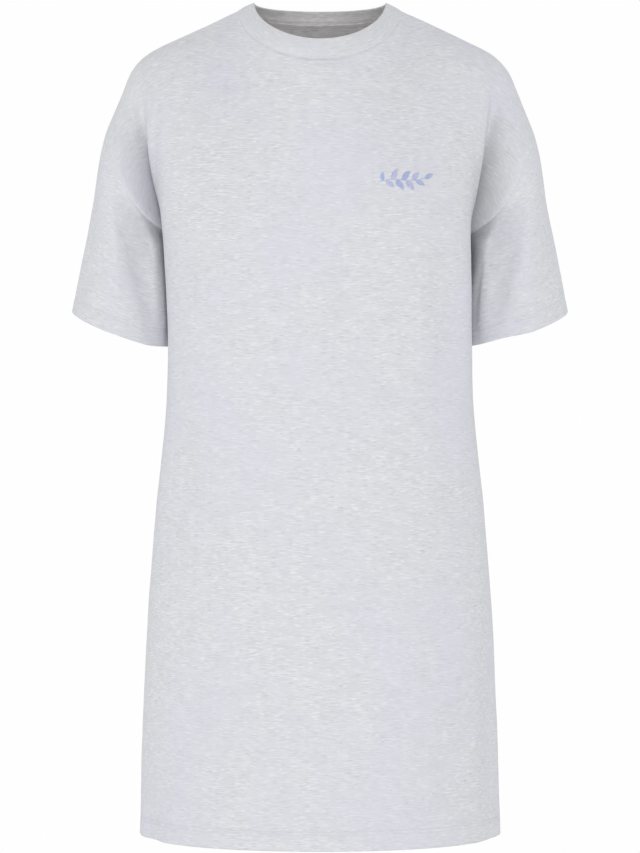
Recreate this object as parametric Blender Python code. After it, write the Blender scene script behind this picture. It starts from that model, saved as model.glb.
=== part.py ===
# A nightshirt of light jersey, filled out as it is when worn: an oversized T-shirt cut with
# dropped shoulders, short sleeves and a ribbed crew neck.
# Metres, +Z up. The wearer faces -Y, and +X is on the right as one looks at the front.
# The origin is where the wearer's shoulders hold it: midway between the two neck points of the
# shoulder seams. "drop" is a distance below that height, "out" a distance from the middle, and
# "back" a distance towards the wearer's back, less than zero at the front.
import bmesh
import bpy
import numpy as np

# Cloth
CLOTH = 0.0015
RIB = 0.0026
SEAM_GAP = 0.0004
HEM_DEPTH = 0.020
CUFF_HEM_DEPTH = 0.018
TURNED_EDGE = 0.0015

# Neck
NECK_OUT = 0.088
NECK_FRONT = 0.085
NECK_FRONT_DROP = 0.060
NECK_BACK = 0.075
NECK_BACK_DROP = 0.0065
NECK_CURVE = 1.10
BAND_TOP_OUT = 0.0718
BAND_TOP_FRONT = 0.078
BAND_TOP_FRONT_DROP = 0.039
BAND_TOP_BACK = 0.0715
BAND_TOP_BACK_DROP = -0.0078
BAND_TOP_RISE = 0.0086
BAND_SWELL = 0.0012
BAND_ROUNDING = 0.0008
BAND_ROWS = 4

# The shoulder seam, from the neck point over the shoulder to the top of the sleeve
SHOULDER_COLUMNS = ("out", "back", "drop")
SHOULDER_SEAM = (
    (0.0880, 0.000, 0.0000),
    (0.1140, 0.001, 0.0118),
    (0.1510, 0.003, 0.0288),
    (0.1840, 0.005, 0.0450),
    (0.2020, 0.008, 0.0625),
    (0.2130, 0.011, 0.0870),
    (0.2285, 0.014, 0.1260),
)

# Level cross-sections of the body from the underarm to the hem. The front runs from its middle
# round to its fullest edge, then back to the side seam, and the back panel does the same.
# "swing" moves the front edge out on the left of the picture and in on the right.
UNDERARM_DROP = 0.246
HEM_DROP = 0.882
BODY_COLUMNS = (
    "drop", "front", "front_square", "front_edge_out", "front_edge", "swing",
    "seam_out", "seam", "back_edge_out", "back_edge", "back_square", "back",
)
BODY_SECTIONS = (
    (0.246, -0.121, 2.35, 0.1635, -0.047, 0.0035, 0.1460, 0.016, 0.1590, 0.072, 2.40, 0.108),
    (0.270, -0.123, 2.35, 0.1628, -0.047, 0.0025, 0.1400, 0.016, 0.1585, 0.072, 2.40, 0.110),
    (0.300, -0.125, 2.35, 0.1620, -0.047, 0.0015, 0.1370, 0.016, 0.1580, 0.071, 2.40, 0.111),
    (0.357, -0.127, 2.35, 0.1612, -0.043, 0.0000, 0.1400, 0.014, 0.1575, 0.062, 2.40, 0.111),
    (0.420, -0.128, 2.35, 0.1632, -0.034, 0.0000, 0.1560, 0.012, 0.1610, 0.048, 2.35, 0.111),
    (0.526, -0.129, 2.30, 0.1740, -0.022, 0.0000, 0.1728, 0.010, 0.1735, 0.036, 2.30, 0.111),
    (0.634, -0.132, 2.25, 0.1835, -0.014, 0.0000, 0.1833, 0.010, 0.1830, 0.030, 2.25, 0.113),
    (0.742, -0.136, 2.20, 0.1892, -0.008, 0.0000, 0.1892, 0.010, 0.1885, 0.026, 2.20, 0.116),
    (0.882, -0.142, 2.15, 0.1937, -0.002, 0.0000, 0.1937, 0.010, 0.1932, 0.022, 2.15, 0.120),
)

# How the cloth leaves the top edge of each panel, by share of the way from the middle of the
# neckline to the sleeve. NECK_SHARE is where the neckline meets the shoulder seam.
NECK_SHARE = 0.42
LEAVING_COLUMNS = ("share", "out", "away", "down")
FRONT_LEAVING = (
    (0.00, 0.000, 0.055, 0.170),
    (0.22, 0.000, 0.075, 0.160),
    (0.42, 0.000, 0.130, 0.110),
    (0.60, 0.000, 0.170, 0.060),
    (0.80, 0.000, 0.200, 0.040),
    (1.00, 0.010, 0.290, 0.020),
)
BACK_LEAVING = (
    (0.00, 0.000, 0.120, 0.150),
    (0.22, 0.000, 0.140, 0.130),
    (0.42, 0.000, 0.190, 0.080),
    (0.60, 0.000, 0.200, 0.050),
    (0.80, 0.000, 0.200, 0.040),
    (1.00, 0.010, 0.250, 0.020),
)
# How the armhole curves forwards or back and inwards, along the panel's underarm row
ARMHOLE_TURN_FROM = 0.80
FRONT_ARMHOLE_TURN = 0.310
BACK_ARMHOLE_TURN = 0.230
ARMHOLE_INWARDS = 0.180
ARMHOLE_FLATTENING = 0.80

# The fold where the body cloth turns back behind itself towards the sleeve. "row" runs from 0
# at the shoulder to 1 at the underarm and "share" across the panel. The cloth goes back by
# "depth" and in by "inwards" at the bottom of the fold, and out by "lip" at its edge.
FOLD_COLUMNS = ("row", "share", "depth", "inwards", "lip")
ARMHOLE_FOLDS = {
    ("front", "right"): (
        (0.20, 0.755, 0.000, 0.000, 0.000),
        (0.35, 0.780, 0.004, 0.002, 0.001),
        (0.50, 0.806, 0.007, 0.004, 0.001),
        (0.65, 0.836, 0.009, 0.005, 0.002),
        (0.80, 0.870, 0.009, 0.005, 0.002),
        (1.00, 0.910, 0.000, 0.000, 0.000),
    ),
    ("front", "left"): (
        (0.20, 0.755, 0.000, 0.000, 0.000),
        (0.35, 0.780, 0.002, 0.001, 0.001),
        (0.50, 0.812, 0.004, 0.002, 0.002),
        (0.65, 0.846, 0.005, 0.003, 0.003),
        (0.80, 0.875, 0.005, 0.003, 0.002),
        (1.00, 0.910, 0.000, 0.000, 0.000),
    ),
    ("back", "right"): (
        (0.20, 0.800, 0.000, 0.000, 0.000),
        (0.35, 0.815, 0.008, 0.002, 0.000),
        (0.50, 0.840, 0.016, 0.004, 0.000),
        (0.65, 0.870, 0.020, 0.006, 0.001),
        (0.80, 0.895, 0.014, 0.004, 0.001),
        (1.00, 0.920, 0.000, 0.000, 0.000),
    ),
    ("back", "left"): (
        (0.20, 0.800, 0.000, 0.000, 0.000),
        (0.35, 0.820, 0.010, 0.002, 0.000),
        (0.50, 0.850, 0.018, 0.004, 0.000),
        (0.65, 0.872, 0.021, 0.006, 0.001),
        (0.80, 0.895, 0.015, 0.004, 0.001),
        (1.00, 0.920, 0.000, 0.000, 0.000),
    ),
}
FOLD_STEEP_SIDE = 0.052
FOLD_GENTLE_SIDE = 0.080
LIP_AHEAD = 0.065
LIP_WIDTH = 0.055

# Soft troughs in the body. "share" runs across the panel from -1 on the left of the picture to
# 1 on the right, and "drift" moves the trough sideways from its top to its bottom.
DRAPE_COLUMNS = ("share", "drift", "half_width", "from_drop", "to_drop", "depth")
DRAPES = {
    "front": (
        (-0.640, 0.060, 0.150, 0.200, 0.400, 0.0030),
        (-0.560, -0.120, 0.140, 0.380, 0.640, 0.0035),
        (-0.740, 0.000, 0.110, 0.780, 0.985, 0.0050),
        (0.500, 0.080, 0.130, 0.180, 0.480, 0.0035),
        (0.760, 0.020, 0.140, 0.560, 1.060, 0.0040),
        (0.200, -0.120, 0.160, 0.560, 0.860, 0.0020),
    ),
    "back": (
        (-0.520, -0.080, 0.160, 0.180, 0.480, 0.0045),
        (0.560, 0.100, 0.150, 0.200, 0.520, 0.0040),
        (-0.300, 0.050, 0.180, 0.480, 0.980, 0.0035),
        (0.350, 0.040, 0.160, 0.620, 1.080, 0.0040),
        (0.720, 0.000, 0.120, 0.700, 1.000, 0.0040),
    ),
}

# Cuff, an oval ring that slopes down towards the body and the front
CUFF_OUT = 0.2092
CUFF_BACK = 0.020
CUFF_HALF_WIDTH = 0.0590
CUFF_HALF_DEPTH = 0.0700
CUFF_DROP = 0.3415
CUFF_SLOPE_OUT = 0.337
CUFF_SLOPE_BACK = 0.137
# The cuff's front is squarer on its inner side, and its inner edge turns up a little:
# "lift" of the edge, where that starts from the cuff's middle, and over what width.
CUFF_SQUARE = 0.80
CUFF_LIFT_COLUMNS = ("lift", "start", "width")
CUFF_LIFT = {"right": (0.0045, 0.020, 0.040), "left": (0.0035, -0.022, 0.030)}
# The way of the arm, the way the sleeve leaves the underarm, and over what height it turns so
ARM_DIRECTION = (0.20, 0.0, -1.0)
UNDERARM_DIRECTION = (0.42, 0.0, -0.28)
UNDERARM_HEIGHT = 0.032
# How far the cloth swells forwards just below the front of the armhole
SLEEVE_FULLNESS = 0.25
# The sleeve's inner front corner, which swells forwards beside the body, by its place and
# half width round the ring
CORNER_PLACE = 0.396
CORNER_WIDTH = 0.075
CORNER_DEPTH = 0.016
SLEEVE_LEAVING = 0.150
SLEEVE_ARRIVING = 0.150
# The share of the ring, over the shoulder, where the sleeve drops straight from the seam
SLEEVE_TOP_SHARE = 0.35

# Mesh counts
PANEL_COLUMNS = ((0.0, NECK_SHARE, 7), (NECK_SHARE, 0.72, 4), (0.72, 0.98, 13), (0.98, 1.0, 1))
UPPER_ROWS = 12
ROW_CROWDING = 0.055
LOWER_ROWS = 12
SLEEVE_ROWS = 9
# The strip of body cloth that tells a sleeve which way the body faces
ARMHOLE_MARGIN = 0.015

COLOURS = {
    "front": (0.70, 0.71, 0.74, 1.0),
    "back": (0.68, 0.69, 0.72, 1.0),
    "sleeve_left": (0.69, 0.70, 0.73, 1.0),
    "sleeve_right": (0.69, 0.70, 0.73, 1.0),
    "neckband": (0.72, 0.73, 0.76, 1.0),
}


# Helpers for tables and curves
def column(columns, rows, name):
    return np.array([row[columns.index(name)] for row in rows], float)


def smooth(knots, values, at):
    """A smooth curve through the values at the knots, read at the places in at."""
    knots, values, at = (np.asarray(a, float) for a in (knots, values, at))
    slope = np.gradient(values, knots)
    i = np.clip(np.searchsorted(knots, at) - 1, 0, len(knots) - 2)
    span = knots[i + 1] - knots[i]
    t = np.clip((at - knots[i]) / span, 0.0, 1.0)
    start, leave, end, arrive = hermite(t)
    return (
        start * values[i] + end * values[i + 1] + span * (leave * slope[i] + arrive * slope[i + 1])
    )


def hermite(t):
    """Weights of start point, start tangent, end point and end tangent."""
    return (
        2 * t**3 - 3 * t**2 + 1,
        t**3 - 2 * t**2 + t,
        3 * t**2 - 2 * t**3,
        t**3 - t**2,
    )


def ease(t):
    t = np.clip(t, 0.0, 1.0)
    return t * t * (3 - 2 * t)


def hump(t):
    """1 at t = 0, falling smoothly to 0 at t = -1 and 1."""
    return np.where(np.abs(t) < 1, (1 + np.cos(np.pi * np.clip(t, -1, 1))) / 2, 0.0)


def evenly(points, shares):
    """Points at the given shares of a dense line's length."""
    steps = np.linalg.norm(np.diff(points, axis=0), axis=1)
    along = np.concatenate([[0.0], np.cumsum(steps)])
    along /= along[-1]
    return np.stack([np.interp(shares, along, points[:, k]) for k in range(3)], axis=1)


# The body
DENSE = 400


def neckline(panel, turn):
    """The neck seam, with turn from 0 at the middle of the panel to 1 at the shoulder."""
    angle = turn * np.pi / 2
    reach, drop = (
        (-NECK_FRONT, NECK_FRONT_DROP) if panel == "front" else (NECK_BACK, NECK_BACK_DROP)
    )
    towards_middle = np.cos(angle)
    return np.stack(
        [
            NECK_OUT * np.sin(angle),
            reach * towards_middle,
            -drop * towards_middle**NECK_CURVE,
        ],
        axis=1,
    )


def shoulder_seam(shares):
    dense = np.linspace(0, 1, DENSE)
    rows = np.linspace(0, 1, len(SHOULDER_SEAM))
    out, back, drop = (
        smooth(rows, column(SHOULDER_COLUMNS, SHOULDER_SEAM, name), dense)
        for name in SHOULDER_COLUMNS
    )
    return evenly(np.stack([out, back, -drop], axis=1), shares)


def top_edge(panel, shares):
    """Neckline and shoulder seam as one edge, from the middle of the panel to the sleeve."""
    shares = np.asarray(shares, float)
    neck = neckline(panel, np.linspace(0, 1, DENSE))
    on_neck = evenly(neck, np.clip(shares / NECK_SHARE, 0, 1))
    on_shoulder = shoulder_seam(np.clip((shares - NECK_SHARE) / (1 - NECK_SHARE), 0, 1))
    return np.where((shares < NECK_SHARE)[:, None], on_neck, on_shoulder)


def body_size(name, drop):
    return smooth(
        column(BODY_COLUMNS, BODY_SECTIONS, "drop"),
        column(BODY_COLUMNS, BODY_SECTIONS, name),
        drop,
    )


def body_section(panel, hand, drop, shares):
    """Half a level section of one panel, from its middle to the side seam."""
    middle = body_size("front" if panel == "front" else "back", drop)
    edge_out = body_size(f"{panel}_edge_out", drop)
    edge = body_size(f"{panel}_edge", drop)
    if panel == "front":
        swing = body_size("swing", drop)
        edge_out = edge_out + (swing if hand == "left" else -swing)
    power = 2 / body_size(f"{panel}_square", drop)
    angle = np.linspace(0, np.pi / 2, DENSE)
    arc_out = edge_out * np.sin(angle) ** power
    arc_back = edge + (middle - edge) * np.cos(angle) ** power
    t = np.linspace(0, 1, DENSE)[1:]
    tuck_out = edge_out + (body_size("seam_out", drop) - edge_out) * ease(t)
    tuck_back = edge + (body_size("seam", drop) - edge) * t
    out = np.concatenate([arc_out, tuck_out])
    back = np.concatenate([arc_back, tuck_back])
    return evenly(np.stack([out, back, np.full_like(out, -drop)], axis=1), shares)


def leaving(panel, shares):
    rows = FRONT_LEAVING if panel == "front" else BACK_LEAVING
    at = column(LEAVING_COLUMNS, rows, "share")
    out, away, down = (
        smooth(at, column(LEAVING_COLUMNS, rows, name), shares) for name in LEAVING_COLUMNS[1:]
    )
    return np.stack([out, -away if panel == "front" else away, -down], axis=1)


def upper_rows(panel, hand, shares, rows):
    """Points of a panel above the underarm, rows from 0 at the top edge to 1."""
    top = top_edge(panel, shares)
    bottom = body_section(panel, hand, UNDERARM_DROP, shares)
    step = 0.004
    below = body_section(panel, hand, UNDERARM_DROP + step, shares)
    falling = (below - bottom) / step
    height = (top[:, 2] - bottom[:, 2])[:, None]
    turn = ease((shares - ARMHOLE_TURN_FROM) / (1 - ARMHOLE_TURN_FROM))[:, None]
    turn_length = FRONT_ARMHOLE_TURN if panel == "front" else -BACK_ARMHOLE_TURN
    turning = np.array([-ARMHOLE_INWARDS, turn_length, 0.0])
    arriving = falling * height * (1 - ARMHOLE_FLATTENING * turn) + turn * turning
    start, leave, end, arrive = (w[:, None, None] for w in hermite(np.asarray(rows, float)))
    points = start * top + leave * leaving(panel, shares) + end * bottom + arrive * arriving
    return points + fold_offset(panel, hand, shares, np.asarray(rows, float))


def fold_offset(panel, hand, shares, rows):
    table = ARMHOLE_FOLDS[panel, hand]
    at = column(FOLD_COLUMNS, table, "row")
    share, depth, inwards, lip = (
        smooth(at, column(FOLD_COLUMNS, table, name), rows)[:, None] for name in FOLD_COLUMNS[1:]
    )
    across = shares[None, :] - share
    width = np.where(across < 0, FOLD_STEEP_SIDE, FOLD_GENTLE_SIDE)
    valley = hump(across / width)
    edge = hump((across + LIP_AHEAD) / LIP_WIDTH)
    towards_inside = 1 if panel == "front" else -1
    return np.stack(
        [lip * edge - inwards * valley, depth * valley * towards_inside, 0 * valley], axis=2
    )


def upper_steps():
    """Rows of the upper body, closer together at the shoulder and at the underarm."""
    even = np.linspace(0, 1, UPPER_ROWS + 1)
    return even - ROW_CROWDING * np.sin(2 * np.pi * even)


def half_panel(panel, hand, shares, upper, lower):
    """Rows of points from the top edge to the hem. lower holds drops below the underarm."""
    above = upper_rows(panel, hand, shares, upper)
    below = np.stack([body_section(panel, hand, drop, shares) for drop in lower])
    return np.concatenate([above, below])


def panel_shares():
    """Shares across half a panel, with one of them at the neck point."""
    stretches = [np.linspace(*ends, count + 1)[:-1] for *ends, count in PANEL_COLUMNS]
    return np.concatenate([*stretches, [1.0]])


def whole_panel(panel):
    """Rows of points from the top edge to the hem, columns from one sleeve to the other."""
    shares = panel_shares()
    upper = upper_steps()
    fold = HEM_DROP - HEM_DEPTH
    lower = np.linspace(UNDERARM_DROP, fold - TURNED_EDGE, LOWER_ROWS + 1)[1:]
    lower = np.concatenate([lower, [fold, HEM_DROP]])
    right = half_panel(panel, "right", shares, upper, lower)
    left = half_panel(panel, "left", shares, upper, lower)[:, ::-1] * (-1, 1, 1)
    points = np.concatenate([left[:, :-1], right], axis=1)
    across = np.concatenate([-shares[:0:-1], shares])
    if panel == "back":
        points, across = points[:, ::-1], across[::-1]
    return draped(panel, points, across)


def draped(panel, points, across):
    """The panel with its soft troughs pressed in."""
    depth = np.zeros(points.shape[:2])
    for row in DRAPES[panel]:
        share, drift, half_width, from_drop, to_drop, trough = row
        down = (-points[:, :, 2] - from_drop) / (to_drop - from_drop)
        depth += trough * hump((across - share - drift * down) / half_width) * hump(2 * down - 1)
    return points - normals(points, False) * depth[:, :, None]


# The sleeves
def armhole(hand):
    """The armhole ring from the top down the front, up the back, and the way body cloth
    meets it."""
    rows = upper_steps()
    shares = np.array([1 - ARMHOLE_MARGIN, 1.0])
    front = upper_rows("front", hand, shares, rows)
    back = upper_rows("back", hand, shares, rows)[::-1]
    both = np.concatenate([front, back[1:-1]])
    return both[:, 1], both[:, 1] - both[:, 0]


def cuff_ring(hand, around):
    angle = 2 * np.pi * around
    inner_front = (np.cos(angle) < 0) & (np.sin(angle) > 0)
    power = np.where(inner_front, CUFF_SQUARE, 1.0)
    out = CUFF_HALF_WIDTH * np.sign(np.cos(angle)) * np.abs(np.cos(angle)) ** power
    back = -CUFF_HALF_DEPTH * np.sign(np.sin(angle)) * np.abs(np.sin(angle)) ** power
    lift, start, width = CUFF_LIFT[hand]
    rise = lift * ease((start - out) / width)
    drop = CUFF_DROP - CUFF_SLOPE_OUT * out - CUFF_SLOPE_BACK * back - rise
    return np.stack([CUFF_OUT + out, CUFF_BACK + back, -drop], axis=1)


def sleeve(hand):
    ring, outwards = armhole(hand)
    around = np.arange(len(ring)) / len(ring)
    cuff = cuff_ring(hand, around)
    along = np.roll(ring, -1, axis=0) - np.roll(ring, 1, axis=0)
    normal = np.cross(along, outwards)
    normal /= np.linalg.norm(normal, axis=1, keepdims=True)
    arm = np.array(ARM_DIRECTION) / np.linalg.norm(ARM_DIRECTION)
    from_top = hump(2 * np.minimum(around, 1 - around) / SLEEVE_TOP_SHARE)
    along_body = 1 - from_top
    leaving_way = arm - (along_body * (normal @ arm))[:, None] * normal
    under = ease(1 - (UNDERARM_DROP + ring[:, 2]) / UNDERARM_HEIGHT)[:, None]
    leaving_way += (np.array(UNDERARM_DIRECTION) - leaving_way) * under
    leaving_way[:, 1] -= SLEEVE_FULLNESS * hump((around - 0.34) / 0.12)
    fold = 1 - CUFF_HEM_DEPTH / SLEEVE_ARRIVING
    down = np.linspace(0, fold - TURNED_EDGE / SLEEVE_ARRIVING, SLEEVE_ROWS + 1)
    down = np.concatenate([down, [fold, 1.0]])
    start, leave, end, arrive = (w[:, None, None] for w in hermite(down))
    rows = (
        start * ring
        + leave * leaving_way * SLEEVE_LEAVING
        + end * cuff
        + arrive * arm * SLEEVE_ARRIVING
    )
    corner = hump((around - CORNER_PLACE) / CORNER_WIDTH)
    swelling = ease(down / 0.22) * ease((0.85 - down) / 0.65)
    rows[:, :, 1] -= CORNER_DEPTH * swelling[:, None] * corner
    return rows * (-1, 1, 1) if hand == "left" else rows[:, ::-1]


# The neckband
def band_top(turn, panel):
    """The folded top edge of the neckband, with turn as on the neckline."""
    angle = turn * np.pi / 2
    if panel == "front":
        reach, drop = -BAND_TOP_FRONT, BAND_TOP_FRONT_DROP
    else:
        reach, drop = BAND_TOP_BACK, BAND_TOP_BACK_DROP
    towards_middle = np.cos(angle)
    rise = BAND_TOP_RISE - (drop + BAND_TOP_RISE) * towards_middle**NECK_CURVE
    return np.stack([BAND_TOP_OUT * np.sin(angle), reach * towards_middle, rise], axis=1)


def neckband():
    """Rows from the folded top edge down to the neck seam, round from the middle of the front."""
    shares = panel_shares()
    shares = shares[shares <= NECK_SHARE + 1e-9]
    quarters = {}
    for panel in ("front", "back"):
        seam = top_edge(panel, shares)
        turn = np.arctan2(seam[:, 0] / NECK_OUT, np.abs(seam[:, 1]) / abs(seam[0, 1])) * 2 / np.pi
        top = band_top(turn, panel)
        rows = np.linspace(0, 1, BAND_ROWS + 1)[:, None, None]
        swell = BAND_SWELL * np.sin(np.pi * rows)
        away = np.stack([np.sin(turn * np.pi / 2), np.cos(turn * np.pi / 2), 0 * turn], axis=1)
        away[:, 1] *= -1 if panel == "front" else 1
        quarters[panel] = top + (seam - top) * rows + swell * away
    right = np.concatenate([quarters["front"], quarters["back"][:, -2::-1]], axis=1)
    left = right[:, -2:0:-1] * (-1, 1, 1)
    return np.concatenate([right, left], axis=1)


# Walls
def normals(points, wrapped):
    """Outward normals of a grid of points: the way down the rows, crossed with the way along."""
    if wrapped:
        along = np.roll(points, -1, axis=1) - np.roll(points, 1, axis=1)
    else:
        along = np.gradient(points, axis=1)
    across = np.cross(np.gradient(points, axis=0), along)
    return across / np.linalg.norm(across, axis=2, keepdims=True)


def shared_normals(sheets):
    """Normals that the sheets on both sides of a seam agree on, long enough there to keep the
    wall's thickness."""
    own = {name: normals(points, wrapped) for name, (points, wrapped) in sheets.items()}
    places = np.concatenate([points.reshape(-1, 3) for points, wrapped in sheets.values()])
    ways = np.concatenate([way.reshape(-1, 3) for way in own.values()])
    _, group = np.unique(np.round(places * 1e5), axis=0, return_inverse=True)
    group = group.ravel()
    total = np.zeros((group.max() + 1, 3))
    np.add.at(total, group, ways)
    total /= np.linalg.norm(total, axis=1, keepdims=True)
    shared = total[group]
    shared /= np.clip(np.sum(shared * ways, axis=1, keepdims=True), 0.7, 1.0)
    ends = np.cumsum([way.size // 3 for way in own.values()])[:-1]
    return {
        name: part.reshape(own[name].shape) for name, part in zip(own, np.split(shared, ends))
    }


def seams(name):
    """The sewn stretches of a sheet's edges, each with the line of points next to it."""
    whole = slice(None)
    if name == "neckband":
        return [((-1, whole), (-2, whole))]
    if name.startswith("sleeve"):
        return [((0, whole), (1, whole))]
    shares = panel_shares()
    shoulder = int(np.argmin(np.abs(shares - NECK_SHARE)))
    middle = len(shares) - 1
    along_top = (0, middle - shoulder, middle + shoulder, 2 * middle)
    found = []
    for start, end in zip(along_top, along_top[1:]):
        stretch = slice(start, end + 1)
        found.append(((0, stretch), (1, stretch)))
    for stretch in (slice(0, UPPER_ROWS + 1), slice(UPPER_ROWS, None)):
        found.append(((stretch, 0), (stretch, 1)))
        found.append(((stretch, -1), (stretch, -2)))
    return found


def drawn_in(points, outwards, wrapped, edges):
    """The grid with its sewn edges moved square to the seam, by half of the seam's gap."""
    moved = points.copy()
    for edge, next_in in edges:
        line = points[edge]
        if wrapped:
            along = np.roll(line, -1, axis=0) - np.roll(line, 1, axis=0)
        else:
            along = np.gradient(line, axis=0)
        square = np.cross(along, outwards[edge])
        square /= np.linalg.norm(square, axis=1, keepdims=True)
        side = np.sign(np.sum(square * (points[next_in] - line)))
        moved[edge] += side * square * SEAM_GAP / 2
    return moved


# Meshes
def material(name):
    made = bpy.data.materials.new(name)
    made.use_nodes = True
    shader = made.node_tree.nodes["Principled BSDF"]
    shader.inputs["Base Color"].default_value = COLOURS[name]
    shader.inputs["Roughness"].default_value = 0.9
    shader.inputs["Metallic"].default_value = 0.0
    return made


def wall(name, outer, inner, wrapped, collection):
    """A closed wall: one grid that runs down the outer points and back up the inner ones."""
    grid = np.concatenate([outer, inner[::-1], outer[:1]])
    if wrapped:
        grid = np.concatenate([grid, grid[:, :1]], axis=1)
    else:
        closed = np.concatenate([outer, outer[::-1], outer[:1]])
        grid = np.concatenate([closed[:, :1], grid, closed[:, -1:]], axis=1)
    rows, columns = grid.shape[:2]
    mesh = bmesh.new()
    bmesh.ops.create_grid(mesh, x_segments=columns - 1, y_segments=rows - 1, size=1)
    mesh.verts.ensure_lookup_table()
    for vertex, place in zip(mesh.verts, grid.reshape(-1, 3)):
        vertex.co = place
    bmesh.ops.remove_doubles(mesh, verts=mesh.verts, dist=1e-6)
    bmesh.ops.recalc_face_normals(mesh, faces=mesh.faces)
    # The same short diagonals on both sides of a seam keep its gap even
    bmesh.ops.triangulate(mesh, faces=mesh.faces, quad_method="SHORT_EDGE")
    data = bpy.data.meshes.new(name)
    mesh.to_mesh(data)
    mesh.free()
    data.materials.append(material(name))
    data.shade_smooth()
    made = bpy.data.objects.new(name, data)
    collection.objects.link(made)
    return made


def main():
    for old in list(bpy.data.objects):
        bpy.data.objects.remove(old)
    nightshirt = bpy.data.collections.new("nightshirt")
    bpy.context.scene.collection.children.link(nightshirt)
    sheets = {
        "front": (whole_panel("front"), False),
        "back": (whole_panel("back"), False),
        "sleeve_left": (sleeve("left"), True),
        "sleeve_right": (sleeve("right"), True),
        "neckband": (neckband(), True),
    }
    outwards = shared_normals(sheets)
    for name, (points, wrapped) in sheets.items():
        thickness = np.full((len(points), 1, 1), CLOTH)
        if name == "neckband":
            thickness[:] = RIB
            thickness[0] = RIB - 2 * BAND_ROUNDING
            points[0] -= outwards[name][0] * BAND_ROUNDING
        else:
            thickness[-2:] = 2 * CLOTH
        inner = points - outwards[name] * thickness
        outer = drawn_in(points, outwards[name], wrapped, seams(name))
        inner = drawn_in(inner, outwards[name], wrapped, seams(name))
        wall(name, outer, inner, wrapped, nightshirt)


main()
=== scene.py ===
# %% [markdown]
# # A jersey nightshirt, filled out as it is when worn
# The real garment is five pieces of light grey melange jersey: a front, a back, two short wide
# sleeves and a narrow neckband. The solids of the part already stand in the frame. Here each of
# them gets a cloth piece with finer form, creases, seams, stitching and a knitted surface.
# Everything is in metres, +Z up, and the wearer faces -Y.

import bmesh
import bpy
import numpy as np
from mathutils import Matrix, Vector, noise
from mathutils.bvhtree import BVHTree


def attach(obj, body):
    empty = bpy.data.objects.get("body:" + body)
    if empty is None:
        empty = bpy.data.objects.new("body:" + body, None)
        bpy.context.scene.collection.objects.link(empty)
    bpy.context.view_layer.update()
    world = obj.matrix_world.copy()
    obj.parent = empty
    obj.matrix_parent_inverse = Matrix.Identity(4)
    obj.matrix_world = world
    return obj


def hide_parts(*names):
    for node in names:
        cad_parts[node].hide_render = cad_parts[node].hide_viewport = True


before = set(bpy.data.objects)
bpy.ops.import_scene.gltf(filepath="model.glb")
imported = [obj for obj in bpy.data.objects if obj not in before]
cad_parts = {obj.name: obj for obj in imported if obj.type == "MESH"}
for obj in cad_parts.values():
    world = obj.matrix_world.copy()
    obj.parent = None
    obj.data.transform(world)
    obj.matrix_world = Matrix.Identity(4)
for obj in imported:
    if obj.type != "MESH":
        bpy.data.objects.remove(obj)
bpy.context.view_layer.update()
bpy.ops.object.select_all(action="DESELECT")
print("solids:", sorted(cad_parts))

# %% [markdown]
# ## Camera, light and floor
# The photograph was taken level with the middle of the garment from a few paces away, with a
# long lens, so its sides hardly converge. A long lens with a small upward shift of the picture
# does the same here. A pale world lights the cloth evenly from all round, and three large soft
# lamps model it, because a single small lamp would draw hard shadows that the photograph lacks.

# %% Camera
CAMERA_BACK = 3.2
CAMERA_HEIGHT = -0.411
PICTURE_HEIGHT = 853
FOCAL_PIXELS = 2973
HORIZON_PIXEL = 393
SENSOR = 36.0

lens_data = bpy.data.cameras.new("camera")
lens_data.sensor_width = SENSOR
lens_data.lens = FOCAL_PIXELS / PICTURE_HEIGHT * SENSOR
lens_data.shift_y = (HORIZON_PIXEL - PICTURE_HEIGHT / 2) / PICTURE_HEIGHT
camera = bpy.data.objects.new("camera", lens_data)
camera.location = (0.0, -CAMERA_BACK, CAMERA_HEIGHT)
camera.rotation_euler = (np.pi / 2, 0.0, 0.0)
bpy.context.scene.collection.objects.link(camera)
bpy.context.scene.camera = camera
print(f"lens {lens_data.lens:.1f} mm, shift {lens_data.shift_y:.4f}")

# %% World, lamps and floor
BACKDROP = 0.991
DAYLIGHT = 0.90
LAMP_SIZE = 1.6
FLOOR_DROP = 1.42
FLOOR_SIZE = 4.6

world = bpy.data.worlds.new("studio")
bpy.context.scene.world = world
world.use_nodes = True
sky = world.node_tree
daylight = sky.nodes["Background"]
backdrop = sky.nodes.new("ShaderNodeBackground")
for background, strength in ((daylight, DAYLIGHT), (backdrop, BACKDROP)):
    background.inputs["Color"].default_value = (1.0, 1.0, 1.0, 1.0)
    background.inputs["Strength"].default_value = strength
paths = sky.nodes.new("ShaderNodeLightPath")
either = sky.nodes.new("ShaderNodeMixShader")
sky.links.new(paths.outputs["Is Camera Ray"], either.inputs["Fac"])
sky.links.new(daylight.outputs[0], either.inputs[1])
sky.links.new(backdrop.outputs[0], either.inputs[2])
sky.links.new(either.outputs[0], sky.nodes["World Output"].inputs[0])


def soft_lamp(name, place, target, watts):
    data = bpy.data.lights.new(name, "AREA")
    data.shape = "DISK"
    data.size = LAMP_SIZE
    data.energy = watts
    lamp = bpy.data.objects.new(name, data)
    lamp.location = place
    lamp.rotation_euler = (Vector(target) - Vector(place)).to_track_quat("-Z", "Y").to_euler()
    bpy.context.scene.collection.objects.link(lamp)


soft_lamp("left", (-2.6, -1.6, -0.8), (0.0, 0.0, -0.45), 17.0)
soft_lamp("right", (2.7, -1.6, -0.8), (0.0, 0.0, -0.45), 12.0)
soft_lamp("front", (0.1, -3.0, -0.5), (0.0, 0.0, -0.42), 19.0)

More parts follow.
